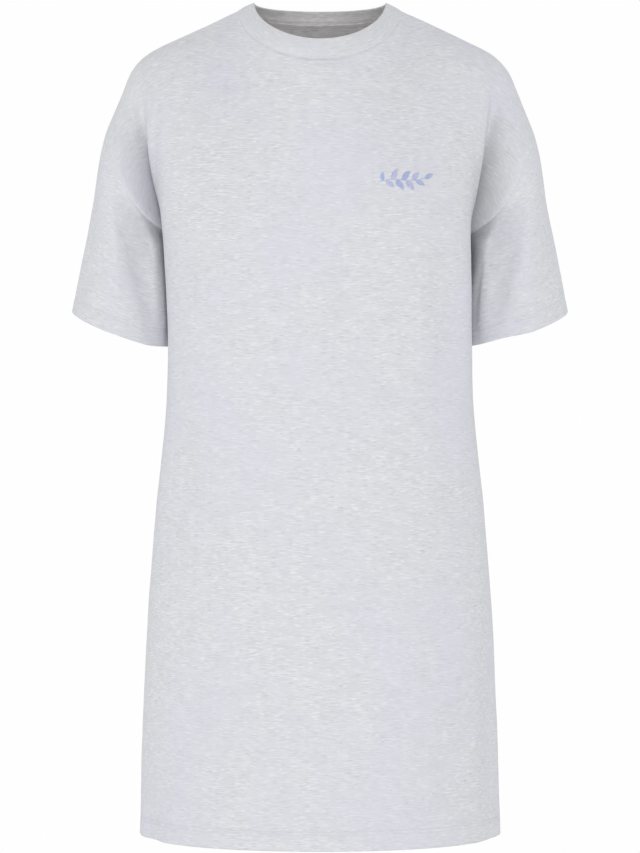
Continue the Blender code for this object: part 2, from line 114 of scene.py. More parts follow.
bpy.ops.mesh.primitive_plane_add(size=FLOOR_SIZE, location=(0.0, 0.0, -FLOOR_DROP))
floor = bpy.context.object
floor.name = "floor"
bpy.ops.object.transform_apply(location=True, rotation=True, scale=True)
paint = bpy.data.materials.new("floor")
paint.use_nodes = True
matt = paint.node_tree.nodes["Principled BSDF"].inputs
matt["Base Color"].default_value = (0.8, 0.8, 0.8, 1.0)
matt["Roughness"].default_value = 0.8
floor.data.materials.append(paint)
floor.select_set(False)
print("studio made, floor at", -FLOOR_DROP)

# %% [markdown]
# ## The garment's own sizes
# The cloth follows the same named sizes as the solids: a neckline, a shoulder seam, level
# sections of the body and an oval cuff. "drop" is a distance below the neck points of the
# shoulder seams, "out" a distance from the middle, and "back" is less than zero at the front.
# Tables with one row for each section keep the shape readable, and curves run between the rows.

# %% Neck, shoulder and body sizes
NECK_OUT = 0.088
NECK_MIDDLE = {"front": (-0.085, 0.0600), "back": (0.075, 0.0065)}  # back, drop
NECK_CURVE = 1.10

SHOULDER_COLUMNS = ("out", "back", "drop")
SHOULDER_SEAM = (
    (0.0880, 0.000, 0.0000),
    (0.1140, 0.001, 0.0118),
    (0.1510, 0.003, 0.0288),
    (0.1840, 0.005, 0.0450),
    (0.2020, 0.008, 0.0625),
    (0.2130, 0.011, 0.0870),
    (0.2285, 0.014, 0.1260),
)

UNDERARM_DROP = 0.246
HEM_DROP = 0.882
BODY_COLUMNS = (
    "drop", "front", "front_square", "front_edge_out", "front_edge", "swing",
    "seam_out", "seam", "back_edge_out", "back_edge", "back_square", "back",
)
BODY_SECTIONS = (
    (0.246, -0.121, 2.35, 0.1635, -0.047, 0.0035, 0.1460, 0.016, 0.1590, 0.072, 2.40, 0.108),
    (0.270, -0.123, 2.35, 0.1628, -0.047, 0.0025, 0.1400, 0.016, 0.1585, 0.072, 2.40, 0.110),
    (0.300, -0.125, 2.35, 0.1620, -0.047, 0.0015, 0.1370, 0.016, 0.1580, 0.071, 2.40, 0.111),
    (0.357, -0.127, 2.35, 0.1612, -0.043, 0.0000, 0.1400, 0.014, 0.1575, 0.062, 2.40, 0.111),
    (0.420, -0.128, 2.35, 0.1632, -0.034, 0.0000, 0.1560, 0.012, 0.1610, 0.048, 2.35, 0.111),
    (0.526, -0.129, 2.30, 0.1740, -0.022, 0.0000, 0.1728, 0.010, 0.1735, 0.036, 2.30, 0.111),
    (0.634, -0.132, 2.25, 0.1835, -0.014, 0.0000, 0.1833, 0.010, 0.1830, 0.030, 2.25, 0.113),
    (0.742, -0.136, 2.20, 0.1892, -0.008, 0.0000, 0.1892, 0.010, 0.1885, 0.026, 2.20, 0.116),
    (0.882, -0.142, 2.15, 0.1937, -0.002, 0.0000, 0.1937, 0.010, 0.1932, 0.022, 2.15, 0.120),
)
print("body sections:", len(BODY_SECTIONS), "from", UNDERARM_DROP, "to", HEM_DROP)

# %% How the cloth leaves the top edge, and the armhole folds
NECK_SHARE = 0.42
LEAVING_COLUMNS = ("share", "out", "away", "down")
LEAVING = {
    "front": (
        (0.00, 0.000, 0.055, 0.170),
        (0.22, 0.000, 0.075, 0.160),
        (0.42, 0.000, 0.130, 0.110),
        (0.60, 0.000, 0.170, 0.060),
        (0.80, 0.000, 0.200, 0.040),
        (1.00, 0.010, 0.290, 0.020),
    ),
    "back": (
        (0.00, 0.000, 0.120, 0.150),
        (0.22, 0.000, 0.140, 0.130),
        (0.42, 0.000, 0.190, 0.080),
        (0.60, 0.000, 0.200, 0.050),
        (0.80, 0.000, 0.200, 0.040),
        (1.00, 0.010, 0.250, 0.020),
    ),
}
ARMHOLE_TURN_FROM = 0.80
ARMHOLE_TURN = {"front": 0.310, "back": -0.230}
ARMHOLE_INWARDS = 0.180
ARMHOLE_FLATTENING = 0.80

FOLD_ROWS = (0.20, 0.35, 0.50, 0.65, 0.80, 1.00)
FOLD_COLUMNS = ("share", "depth", "inwards", "lip")
NO_FOLD = (0.000, 0.000, 0.000)
ARMHOLE_FOLDS = {
    ("front", "right"): (
        (0.755, *NO_FOLD),
        (0.780, 0.004, 0.002, 0.001),
        (0.806, 0.007, 0.004, 0.001),
        (0.836, 0.009, 0.005, 0.002),
        (0.870, 0.009, 0.005, 0.002),
        (0.910, *NO_FOLD),
    ),
    ("front", "left"): (
        (0.755, *NO_FOLD),
        (0.780, 0.002, 0.001, 0.001),
        (0.812, 0.004, 0.002, 0.002),
        (0.846, 0.005, 0.003, 0.003),
        (0.875, 0.005, 0.003, 0.002),
        (0.910, *NO_FOLD),
    ),
    ("back", "right"): (
        (0.800, *NO_FOLD),
        (0.815, 0.008, 0.002, 0.000),
        (0.840, 0.016, 0.004, 0.000),
        (0.870, 0.020, 0.006, 0.001),
        (0.895, 0.014, 0.004, 0.001),
        (0.920, *NO_FOLD),
    ),
    ("back", "left"): (
        (0.800, *NO_FOLD),
        (0.820, 0.010, 0.002, 0.000),
        (0.850, 0.018, 0.004, 0.000),
        (0.872, 0.021, 0.006, 0.001),
        (0.895, 0.015, 0.004, 0.001),
        (0.920, *NO_FOLD),
    ),
}
FOLD_STEEP_SIDE = 0.052
FOLD_GENTLE_SIDE = 0.080
LIP_AHEAD = 0.065
LIP_WIDTH = 0.055
print("armhole folds:", len(ARMHOLE_FOLDS))

# %% Curves that run through the tables
DENSE = 400


def column(columns, rows, name):
    return np.array([row[columns.index(name)] for row in rows], float)


def hermite(t):
    return (
        2 * t**3 - 3 * t**2 + 1,
        t**3 - 2 * t**2 + t,
        3 * t**2 - 2 * t**3,
        t**3 - t**2,
    )


def smooth(knots, values, at):
    knots, values, at = (np.asarray(a, float) for a in (knots, values, at))
    slope = np.gradient(values, knots)
    i = np.clip(np.searchsorted(knots, at) - 1, 0, len(knots) - 2)
    span = knots[i + 1] - knots[i]
    t = np.clip((at - knots[i]) / span, 0.0, 1.0)
    start, leave, end, arrive = hermite(t)
    return (
        start * values[i] + end * values[i + 1] + span * (leave * slope[i] + arrive * slope[i + 1])
    )


def ease(t):
    t = np.clip(t, 0.0, 1.0)
    return t * t * (3 - 2 * t)


def hump(t):
    return np.where(np.abs(t) < 1, (1 + np.cos(np.pi * np.clip(t, -1, 1))) / 2, 0.0)


def evenly(points, shares):
    steps = np.linalg.norm(np.diff(points, axis=0), axis=1)
    along = np.concatenate([[0.0], np.cumsum(steps)])
    along /= along[-1]
    width = points.shape[1]
    return np.stack([np.interp(shares, along, points[:, k]) for k in range(width)], axis=1)


print("half way down the body the front stands", float(smooth(
    column(BODY_COLUMNS, BODY_SECTIONS, "drop"),
    column(BODY_COLUMNS, BODY_SECTIONS, "front"), 0.5)))

# %% [markdown]
# ## The front and the back as grids of points
# A panel could be a flat cut sewn up by cloth simulation, but a plain jersey that hangs this
# smoothly is easier to hold to the photograph as a loft. Each column of points starts on the
# neckline or the shoulder seam, leaves it in a given direction, and arrives on the level
# section at the underarm. Below that, level sections follow one another down to the hem.

# %% The top edge and the level sections
def neckline(panel, turn):
    angle = turn * np.pi / 2
    reach, drop = NECK_MIDDLE[panel]
    towards_middle = np.cos(angle)
    places = [
        NECK_OUT * np.sin(angle), reach * towards_middle, -drop * towards_middle**NECK_CURVE
    ]
    return np.stack(places, axis=1)


def shoulder_seam(shares):
    rows = np.linspace(0, 1, len(SHOULDER_SEAM))
    out, back, drop = (
        smooth(rows, column(SHOULDER_COLUMNS, SHOULDER_SEAM, name), np.linspace(0, 1, DENSE))
        for name in SHOULDER_COLUMNS
    )
    return evenly(np.stack([out, back, -drop], axis=1), shares)


def top_edge(panel, shares):
    neck = neckline(panel, np.linspace(0, 1, DENSE))
    on_neck = evenly(neck, np.clip(shares / NECK_SHARE, 0, 1))
    on_shoulder = shoulder_seam(np.clip((shares - NECK_SHARE) / (1 - NECK_SHARE), 0, 1))
    return np.where((shares < NECK_SHARE)[:, None], on_neck, on_shoulder)


def body_size(name, drop):
    return smooth(
        column(BODY_COLUMNS, BODY_SECTIONS, "drop"),
        column(BODY_COLUMNS, BODY_SECTIONS, name),
        drop,
    )


def body_section(panel, hand, drop, shares):
    middle = body_size(panel, drop)
    edge_out = body_size(f"{panel}_edge_out", drop)
    edge = body_size(f"{panel}_edge", drop)
    if panel == "front":
        swing = body_size("swing", drop)
        edge_out = edge_out + (swing if hand == "left" else -swing)
    power = 2 / body_size(f"{panel}_square", drop)
    angle = np.linspace(0, np.pi / 2, DENSE)
    t = np.linspace(0, 1, DENSE)[1:]
    tuck_out = edge_out + (body_size("seam_out", drop) - edge_out) * ease(t)
    tuck_back = edge + (body_size("seam", drop) - edge) * t
    out = np.concatenate([edge_out * np.sin(angle) ** power, tuck_out])
    back = np.concatenate([edge + (middle - edge) * np.cos(angle) ** power, tuck_back])
    return evenly(np.stack([out, back, np.full_like(out, -drop)], axis=1), shares)


print("neck point:", top_edge("front", np.array([NECK_SHARE]))[0].round(4))

# %% The rows between the shoulder and the underarm
def leaving(panel, shares):
    rows = LEAVING[panel]
    at = column(LEAVING_COLUMNS, rows, "share")
    out, away, down = (
        smooth(at, column(LEAVING_COLUMNS, rows, name), shares) for name in LEAVING_COLUMNS[1:]
    )
    return np.stack([out, -away if panel == "front" else away, -down], axis=1)


def fold_offset(panel, hand, shares, rows):
    table = ARMHOLE_FOLDS[panel, hand]
    share, depth, inwards, lip = (
        smooth(FOLD_ROWS, column(FOLD_COLUMNS, table, name), rows)[:, None]
        for name in FOLD_COLUMNS
    )
    across = shares[None, :] - share
    width = np.where(across < 0, FOLD_STEEP_SIDE, FOLD_GENTLE_SIDE)
    valley = hump(across / width)
    edge = hump((across + LIP_AHEAD) / LIP_WIDTH)
    inside = 1 if panel == "front" else -1
    return np.stack([lip * edge - inwards * valley, depth * valley * inside, 0 * valley], axis=2)


def upper_rows(panel, hand, shares, rows):
    top = top_edge(panel, shares)
    bottom = body_section(panel, hand, UNDERARM_DROP, shares)
    step = 0.004
    falling = (body_section(panel, hand, UNDERARM_DROP + step, shares) - bottom) / step
    height = (top[:, 2] - bottom[:, 2])[:, None]
    turn = ease((shares - ARMHOLE_TURN_FROM) / (1 - ARMHOLE_TURN_FROM))[:, None]
    turning = np.array([-ARMHOLE_INWARDS, ARMHOLE_TURN[panel], 0.0])
    arriving = falling * height * (1 - ARMHOLE_FLATTENING * turn) + turn * turning
    start, leave, end, arrive = (w[:, None, None] for w in hermite(rows))
    points = start * top + leave * leaving(panel, shares) + end * bottom + arrive * arriving
    return points + fold_offset(panel, hand, shares, rows)


# %% Rows and columns, closer together beside the seams
NECK_EASE = 0.100
NECK_EASE_DEPTH = 0.060
NECK_EASE_ACROSS = 0.30
UPPER_ROWS = 70
ROW_CROWDING = 0.115
LOWER_ROWS = 112
HEM_DEPTH = 0.020
HEM_ROWS = 8
HEM_STEP = 0.001
COLUMN_STRETCHES = (
    (0.0, NECK_SHARE - 0.03, 26), (NECK_SHARE - 0.03, NECK_SHARE + 0.03, 12),
    (NECK_SHARE + 0.03, 0.72, 17), (0.72, 0.97, 34), (0.97, 1.0, 9),
)


def upper_steps():
    even = np.linspace(0, 1, UPPER_ROWS + 1)
    return even - ROW_CROWDING * np.sin(2 * np.pi * even)


def panel_shares():
    stretches = [np.linspace(a, b, count + 1)[:-1] for a, b, count in COLUMN_STRETCHES]
    shares = np.concatenate([*stretches, [1.0]])
    shares[np.argmin(np.abs(shares - NECK_SHARE))] = NECK_SHARE
    return shares


def lower_drops():
    fold = HEM_DROP - HEM_DEPTH
    body = np.linspace(UNDERARM_DROP, fold - HEM_STEP, LOWER_ROWS + 1)[1:]
    return np.concatenate([body, np.linspace(fold, HEM_DROP, HEM_ROWS)])


def lengths_down(points):
    steps = np.linalg.norm(np.diff(points, axis=0), axis=2)
    return np.concatenate([np.zeros((1, points.shape[1])), np.cumsum(steps, axis=0)])


def eased_at_neck(values, points, across):
    order = np.argsort(across)
    at = across[order]
    below = lengths_down(points)[:, np.argmin(np.abs(across - NECK_SHARE))]
    window = hump((np.abs(at) - NECK_SHARE) / NECK_EASE_ACROSS)[:, None]
    offsets = np.linspace(-0.8, 0.8, 9)
    weights = hump(offsets) / hump(offsets).sum()
    eased = values.copy()
    for row, reach in enumerate(NECK_EASE * ease(below / NECK_EASE_DEPTH)):
        spread = at[:, None] + reach * offsets
        here = values[row, order]
        moved = np.stack([np.interp(spread, at, one) @ weights for one in here.T], axis=1)
        eased[row, order] = here + (moved - here) * window
    return eased


def whole_panel(panel):
    shares, upper, lower = panel_shares(), upper_steps(), lower_drops()

    def half(hand):
        above = upper_rows(panel, hand, shares, upper)
        below = np.stack([body_section(panel, hand, drop, shares) for drop in lower])
        return np.concatenate([above, below])

    left = half("left")[:, ::-1] * (-1, 1, 1)
    points = np.concatenate([left[:, :-1], half("right")], axis=1)
    across = np.concatenate([-shares[:0:-1], shares])
    points = eased_at_neck(points, points, across)
    return (points[:, ::-1], across[::-1]) if panel == "back" else (points, across)


panel_points = {panel: whole_panel(panel) for panel in ("front", "back")}
print("grid of the front:", panel_points["front"][0].shape)

# %% [markdown]
# ## Soft folds
# The photograph shows a very smooth jersey, with a few long shallow troughs down the body, two
# that come out of the underarms, and a small pucker under the neck seam. Each one is a row in a
# table: where it starts and ends, how wide and how deep it is. A trough fades out at its sides
# and ends, and its depth is taken along the cloth's own normal, so it never tears the sheet.
# The back has similar ones that the photograph doesn't show, uneven in the same way.

# %% Long troughs, by share across the panel
DRAPES = {
    # share across, drift on the way down, half width, from drop, to drop, depth
    "front": (
        (-0.640, 0.060, 0.150, 0.200, 0.400, 0.0030),
        (-0.560, -0.120, 0.140, 0.380, 0.640, 0.0035),
        (-0.740, 0.000, 0.110, 0.780, 0.985, 0.0050),
        (0.500, 0.080, 0.130, 0.180, 0.480, 0.0035),
        (0.760, 0.020, 0.140, 0.560, 1.060, 0.0040),
        (0.200, -0.120, 0.160, 0.560, 0.860, 0.0020),
    ),
    "back": (
        (-0.520, -0.080, 0.160, 0.180, 0.480, 0.0045),
        (0.560, 0.100, 0.150, 0.200, 0.520, 0.0040),
        (-0.300, 0.050, 0.180, 0.480, 0.980, 0.0035),
        (0.350, 0.040, 0.160, 0.620, 1.080, 0.0040),
        (0.720, 0.000, 0.120, 0.700, 1.000, 0.0040),
    ),
}

# %% Short creases, by where they start and end as seen from the front
CREASES = {
    # from x, from drop, to x, to drop, half width, depth
    "front": (
        (-0.160, 0.258, -0.122, 0.334, 0.0130, 0.0022),
        (-0.158, 0.290, -0.104, 0.372, 0.0160, 0.0012),
        (-0.134, 0.468, -0.141, 0.566, 0.0150, 0.0018),
        (-0.133, 0.455, -0.163, 0.585, 0.0120, 0.0010),
        (0.112, 0.252, 0.128, 0.400, 0.0200, 0.0018),
        (0.158, 0.262, 0.118, 0.345, 0.0120, 0.0014),
        (-0.024, 0.0665, 0.026, 0.0655, 0.0026, 0.0009),
        (-0.020, 0.0710, 0.024, 0.0700, 0.0028, -0.0005),
        (-0.090, 0.040, -0.150, 0.118, 0.0180, 0.0010),
        (0.094, 0.044, 0.158, 0.122, 0.0170, 0.0012),
        (-0.168, 0.800, -0.170, 0.900, 0.0110, 0.0022),
        (-0.060, 0.700, -0.052, 0.900, 0.0240, 0.0010),
        (0.060, 0.640, 0.074, 0.880, 0.0260, 0.0012),
        (0.166, 0.600, 0.172, 0.860, 0.0160, 0.0018),
    ),
    "back": (
        (-0.156, 0.262, -0.098, 0.352, 0.0150, 0.0024),
        (0.156, 0.258, 0.104, 0.366, 0.0140, 0.0022),
        (-0.150, 0.300, -0.070, 0.420, 0.0180, 0.0014),
        (0.150, 0.306, 0.082, 0.398, 0.0170, 0.0015),
        (-0.040, 0.090, 0.044, 0.086, 0.0100, 0.0010),
        (-0.030, 0.380, -0.018, 0.620, 0.0240, 0.0018),
        (0.050, 0.430, 0.072, 0.700, 0.0260, 0.0020),
        (-0.110, 0.560, -0.128, 0.870, 0.0260, 0.0022),
        (0.010, 0.640, 0.006, 0.900, 0.0280, 0.0018),
        (0.128, 0.660, 0.140, 0.900, 0.0220, 0.0020),
    ),
}


# Short creases fade out this near to a side seam, in share, and to the top edge, in metres
CLEAR_OF_SIDE = 0.05
CLEAR_OF_TOP = 0.006


def normals(points, wrapped):
    if wrapped:
        along = np.roll(points, -1, axis=1) - np.roll(points, 1, axis=1)
    else:
        along = np.gradient(points, axis=1)
    across = np.cross(np.gradient(points, axis=0), along)
    return across / np.maximum(np.linalg.norm(across, axis=2, keepdims=True), 1e-12)


def trough_depth(panel, points, across):
    depth = np.zeros(points.shape[:2])
    for share, drift, half_width, from_drop, to_drop, trough in DRAPES[panel]:
        down = (-points[:, :, 2] - from_drop) / (to_drop - from_drop)
        depth += trough * hump((across - share - drift * down) / half_width) * hump(2 * down - 1)
    return depth


def crease_depth(panel, points, across):
    depth = np.zeros(points.shape[:2])
    from_top = lengths_down(points)
    sewn = ease((1 - np.abs(across)) / CLEAR_OF_SIDE) * ease(from_top / CLEAR_OF_TOP)
    for from_x, from_drop, to_x, to_drop, half_width, crease in CREASES[panel]:
        start = np.array([from_x, -from_drop])
        way = np.array([to_x, -to_drop]) - start
        length = np.linalg.norm(way)
        way = way / length
        place = points[:, :, [0, 2]] - start
        down = place @ way / length
        aside = place @ np.array([-way[1], way[0]])
        bend = half_width * 0.5 * np.sin(3 * down)
        depth += crease * hump((aside - bend) / half_width) * hump(2 * down - 1)
    return depth * sewn


for panel, (points, across) in panel_points.items():
    points = points - normals(points, False) * trough_depth(panel, points, across)[:, :, None]
    depth = crease_depth(panel, points, across)
    panel_points[panel] = (points - normals(points, False) * depth[:, :, None], across)
    print(panel, "deepest crease", f"{depth.max() * 1000:.1f} mm")

# %% [markdown]
# ## The sleeves
# Each sleeve starts on the armhole, which is the outer edge of the front and the back, and ends
# in an oval cuff that slopes towards the body. The same lofting joins the two rings. At the top
# it runs on from the shoulder, and at the underarm it leaves sideways, so that there is room
# between the sleeve and the body as in the photograph.

# %% Cuff sizes and the sleeve grid
CUFF_OUT = 0.2092
CUFF_BACK = 0.020
CUFF_HALF_WIDTH = 0.0590
CUFF_HALF_DEPTH = 0.0700
CUFF_DROP = 0.3415
CUFF_SLOPE_OUT = 0.337
CUFF_SLOPE_BACK = 0.137
CUFF_SQUARE = 0.80
CUFF_LIFT = {"right": (0.0045, 0.020, 0.040), "left": (0.0035, -0.022, 0.030)}
CUFF_HEM_DEPTH = 0.018
CUFF_HEM_STEP = 0.006
ARM_DIRECTION = (0.20, 0.0, -1.0)
UNDERARM_DIRECTION = (0.42, 0.0, -0.28)
UNDERARM_HEIGHT = 0.032
SLEEVE_FULLNESS = 0.25
FULLNESS_PLACE, FULLNESS_WIDTH = 0.34, 0.12
# The inner front corner swells forwards beside the body: its place and half width by share
# round the sleeve, its depth, and by share of the way down where it is full and where it ends
CORNER_PLACE, CORNER_WIDTH = 0.396, 0.075
CORNER_DEPTH = 0.016
CORNER_FULL_AT = 0.22
CORNER_GONE_AT = 0.85
CORNER_FADE = 0.65
SLEEVE_LEAVING = 0.150
SLEEVE_ARRIVING = 0.150
SLEEVE_TOP_SHARE = 0.35
SLEEVE_ROWS = 60
SEAM_ROWS = 8
SEAM_ROWS_TO = 0.04
ARMHOLE_MARGIN = 0.015


def armhole(hand):
    rows = upper_steps()
    shares = np.array([1 - ARMHOLE_MARGIN, 1.0])
    front = upper_rows("front", hand, shares, rows)
    back = upper_rows("back", hand, shares, rows)[::-1]
    both = np.concatenate([front, back[1:-1]])
    return both[:, 1], both[:, 1] - both[:, 0]


def cuff_ring(hand, around):
    t = 2 * np.pi * around
    inner_front = (np.cos(t) < 0) & (np.sin(t) > 0)
    power = np.where(inner_front, CUFF_SQUARE, 1.0)
    out = CUFF_HALF_WIDTH * np.sign(np.cos(t)) * np.abs(np.cos(t)) ** power
    back = -CUFF_HALF_DEPTH * np.sign(np.sin(t)) * np.abs(np.sin(t)) ** power
    lift, start, width = CUFF_LIFT[hand]
    rise = lift * ease((start - out) / width)
    drop = CUFF_DROP - CUFF_SLOPE_OUT * out - CUFF_SLOPE_BACK * back - rise
    return np.stack([CUFF_OUT + out, CUFF_BACK + back, -drop], axis=1)


def sleeve(hand):
    ring, outwards = armhole(hand)
    around = np.arange(len(ring)) / len(ring)
    cuff = cuff_ring(hand, around)
    along = np.roll(ring, -1, axis=0) - np.roll(ring, 1, axis=0)
    normal = np.cross(along, outwards)
    normal /= np.linalg.norm(normal, axis=1, keepdims=True)
    arm = np.array(ARM_DIRECTION) / np.linalg.norm(ARM_DIRECTION)
    from_top = hump(2 * np.minimum(around, 1 - around) / SLEEVE_TOP_SHARE)
    leaving_way = arm - ((1 - from_top) * (normal @ arm))[:, None] * normal
    under = ease(1 - (UNDERARM_DROP + ring[:, 2]) / UNDERARM_HEIGHT)[:, None]
    leaving_way += (np.array(UNDERARM_DIRECTION) - leaving_way) * under
    leaving_way[:, 1] -= SLEEVE_FULLNESS * hump((around - FULLNESS_PLACE) / FULLNESS_WIDTH)
    fold = 1 - CUFF_HEM_DEPTH / SLEEVE_ARRIVING
    near_seam = np.linspace(0, SEAM_ROWS_TO, SEAM_ROWS)[:-1]
    down = np.linspace(SEAM_ROWS_TO, fold - CUFF_HEM_STEP, SLEEVE_ROWS)
    down = np.concatenate([near_seam, down, np.linspace(fold, 1, HEM_ROWS)])
    start, leave, end, arrive = (w[:, None, None] for w in hermite(down))
    rows = (
        start * ring
        + leave * leaving_way * SLEEVE_LEAVING
        + end * cuff
        + arrive * arm * SLEEVE_ARRIVING
    )
    corner = hump((around - CORNER_PLACE) / CORNER_WIDTH)
    swelling = ease(down / CORNER_FULL_AT) * ease((CORNER_GONE_AT - down) / CORNER_FADE)
    rows[:, :, 1] -= CORNER_DEPTH * swelling[:, None] * corner
    return rows * (-1, 1, 1) if hand == "left" else rows[:, ::-1]


# %% Sleeve creases, by share round the sleeve from its top and share of the way down it
SLEEVE_CREASES = (
    # hand, from round, to round, from down, to down, half width round, depth
    ("right", 0.26, 0.30, 0.20, 1.10, 0.040, 0.0030),
    ("right", 0.12, 0.20, 0.00, 0.60, 0.035, 0.0012),
    ("right", 0.38, 0.36, 0.30, 1.20, 0.030, 0.0025),
    ("right", 0.66, 0.70, 0.10, 0.90, 0.045, 0.0028),
    ("right", 0.80, 0.76, 0.40, 1.20, 0.040, 0.0020),
    ("left", 0.25, 0.33, 0.15, 1.10, 0.040, 0.0022),
    ("left", 0.40, 0.38, 0.45, 1.25, 0.030, 0.0024),
    ("left", 0.14, 0.10, 0.20, 0.90, 0.040, 0.0012),
    ("left", 0.70, 0.66, 0.15, 1.00, 0.045, 0.0026),
    ("left", 0.82, 0.85, 0.35, 1.10, 0.035, 0.0018),
)


def creased_sleeve(hand, points):
    count = points.shape[1]
    around = np.arange(count) / count
    if hand == "right":
        around = around[::-1]
    down = np.linspace(0, 1, len(points))[:, None]
    depth = np.zeros(points.shape[:2])
    for side, from_round, to_round, from_down, to_down, half_width, crease in SLEEVE_CREASES:
        if side != hand:
            continue
        t = (down - from_down) / (to_down - from_down)
        middle = from_round + (to_round - from_round) * t
        depth += crease * hump((around[None, :] - middle) / half_width) * hump(2 * t - 1)
    depth *= ease(lengths_down(points) / 0.012)
    return points - normals(points, True) * depth[:, :, None]


sleeve_points = {hand: creased_sleeve(hand, sleeve(hand)) for hand in ("left", "right")}
print("grid of a sleeve:", sleeve_points["left"].shape)

# %% [markdown]
# ## The neckband
# The band is a strip of the same knit, folded double along its length and sewn to the neckline,
# so its top edge is a soft round fold. Its rows run from that fold down to the seam, and the
# wall between its two faces is twice as thick as the body's cloth.

# %% Neckband sizes and its grid
BAND_TOP_OUT = 0.0718
BAND_TOP_MIDDLE = {"front": (-0.078, 0.0390), "back": (0.0715, -0.0078)}  # back, drop
BAND_TOP_RISE = 0.0086
BAND_SWELL = 0.0012
BAND_ROWS = 18


def band_top(turn, panel):
    angle = turn * np.pi / 2
    reach, drop = BAND_TOP_MIDDLE[panel]
    towards_middle = np.cos(angle)
    rise = BAND_TOP_RISE - (drop + BAND_TOP_RISE) * towards_middle**NECK_CURVE
    return np.stack([BAND_TOP_OUT * np.sin(angle), reach * towards_middle, rise], axis=1)


def neckband():
    shares = panel_shares()
    shares = shares[shares <= NECK_SHARE + 1e-9]
    quarters = {}
    for panel in ("front", "back"):
        seam = top_edge(panel, shares)
        turn = np.arctan2(seam[:, 0] / NECK_OUT, np.abs(seam[:, 1]) / abs(seam[0, 1])) * 2 / np.pi
        top = band_top(turn, panel)
        rows = np.linspace(0, 1, BAND_ROWS + 1)[:, None, None]
        swell = BAND_SWELL * np.sin(np.pi * rows)
        away = np.stack([np.sin(turn * np.pi / 2), np.cos(turn * np.pi / 2), 0 * turn], axis=1)
        away[:, 1] *= -1 if panel == "front" else 1
        quarters[panel] = top + (seam - top) * rows + swell * away
    right = np.concatenate([quarters["front"], quarters["back"][:, -2::-1]], axis=1)
    left = right[:, -2:0:-1] * (-1, 1, 1)
    return np.concatenate([right, left], axis=1)


band_points = neckband()
print("grid of the neckband:", band_points.shape)

# %% [markdown]
# ## Flat patterns
# Knit has a direction: its rows run across each panel, and the flecks of a melange yarn follow
# them. On the dropped shoulder the photograph shows the flecks running steeply down with the
# cloth. A texture in object space couldn't do that, so each grid also gets flat coordinates in
# metres, close to the paper pattern that the piece is cut from, and the knit is drawn on those.

# %% Flat coordinates of each piece
FLAT_NECK = {"front": (0.088, 0.085), "back": (0.088, 0.026)}
SHOULDER_SLOPE = 20.0
LEVEL_TO = 0.84  # inside this share across a panel the courses of the knit run level
LEVEL_OVER = 0.26


def lengths_along(points):
    steps = np.linalg.norm(np.diff(points, axis=1), axis=2)
    return np.concatenate([np.zeros((points.shape[0], 1)), np.cumsum(steps, axis=1)], axis=1)


def flat_panel(panel, points, across):
    sign, share = np.sign(across), np.abs(across)
    along = lengths_along(points)
    middle = along[:, np.argmin(share)][:, None]
    along = along - middle
    down = lengths_down(points)
    shoulder = down[UPPER_ROWS]
    out, drop = FLAT_NECK[panel]
    angle = np.linspace(0, np.pi / 2, DENSE)
    neck = np.stack([out * np.sin(angle), -drop * np.cos(angle)], axis=1)
    on_neck = evenly(neck, np.clip(share / NECK_SHARE, 0, 1))
    slope = np.radians(SHOULDER_SLOPE)
    seam = float(np.linalg.norm(np.diff(shoulder_seam(np.linspace(0, 1, 50)), axis=0), axis=1).sum())
    beyond = np.clip((share - NECK_SHARE) / (1 - NECK_SHARE), 0, 1)[:, None] * seam
    on_shoulder = np.array([NECK_OUT, 0.0]) + beyond * np.array([np.cos(slope), -np.sin(slope)])
    top = np.where((share < NECK_SHARE)[:, None], on_neck, on_shoulder)
    top[:, 0] *= sign
    if panel == "back":
        along = -along
    underarm = -(drop + shoulder[np.argmin(share)])
    bottom = np.stack([along[UPPER_ROWS], np.full(len(share), underarm)], axis=1)
    part_way = (down[: UPPER_ROWS + 1] / shoulder)[:, :, None]
    upper = top + (bottom - top) * part_way
    level = underarm + UNDERARM_DROP + points[: UPPER_ROWS + 1, :, 2]
    upper[:, :, 1] += (level - upper[:, :, 1]) * ease((LEVEL_TO - share) / LEVEL_OVER)
    fall = underarm - (points[UPPER_ROWS, 0, 2] - points[UPPER_ROWS + 1 :, :, 2])
    lower = np.stack([along[UPPER_ROWS + 1 :], fall], axis=2)
    return eased_at_neck(np.concatenate([upper, lower]), points, across)


def flat_tube(points):
    ring = np.concatenate([points, points[:, :1]], axis=1)
    along = lengths_along(ring)
    along = along / along[:, -1:] * along[:, -1].mean()
    down = lengths_down(ring)
    return np.stack([along, down[-1:] - down], axis=2)


def area(points, wrapped):
    if wrapped:
        points = np.concatenate([points, points[:, :1]], axis=1)
    one = np.cross(points[1:, :-1] - points[:-1, :-1], points[:-1, 1:] - points[:-1, :-1])
    two = np.cross(points[1:, :-1] - points[1:, 1:], points[:-1, 1:] - points[1:, 1:])
    return float((np.linalg.norm(one, axis=2) + np.linalg.norm(two, axis=2)).sum() / 2)


# Each piece's grid of points, and whether it is wrapped into a tube
grids = {panel: (points, False) for panel, (points, across) in panel_points.items()}
grids |= {f"sleeve_{hand}": (points, True) for hand, points in sleeve_points.items()}
grids["neckband"] = (band_points, True)
flat = {panel: flat_panel(panel, *panel_points[panel]) for panel in panel_points}
flat |= {name: flat_tube(points) for name, (points, wrapped) in grids.items() if wrapped}
for name, (points, wrapped) in grids.items():
    span = np.ptp(flat[name].reshape(-1, 2), axis=0)
    print(f"{name}: area {area(points, wrapped):.4f} square metres, pattern {span.round(3)}")

# %% [markdown]
# ## Seams and thickness
# Where two pieces are sewn together the cloth dips into a fine groove, with a faint ridge beside
# it from the seam allowance underneath. Both pieces must dip by the same amount and in the same
# direction, or a gap opens, so first every point on a seam gets one normal that its neighbours
# share. The depth of the groove varies a little along its length, as a real seam puckers.

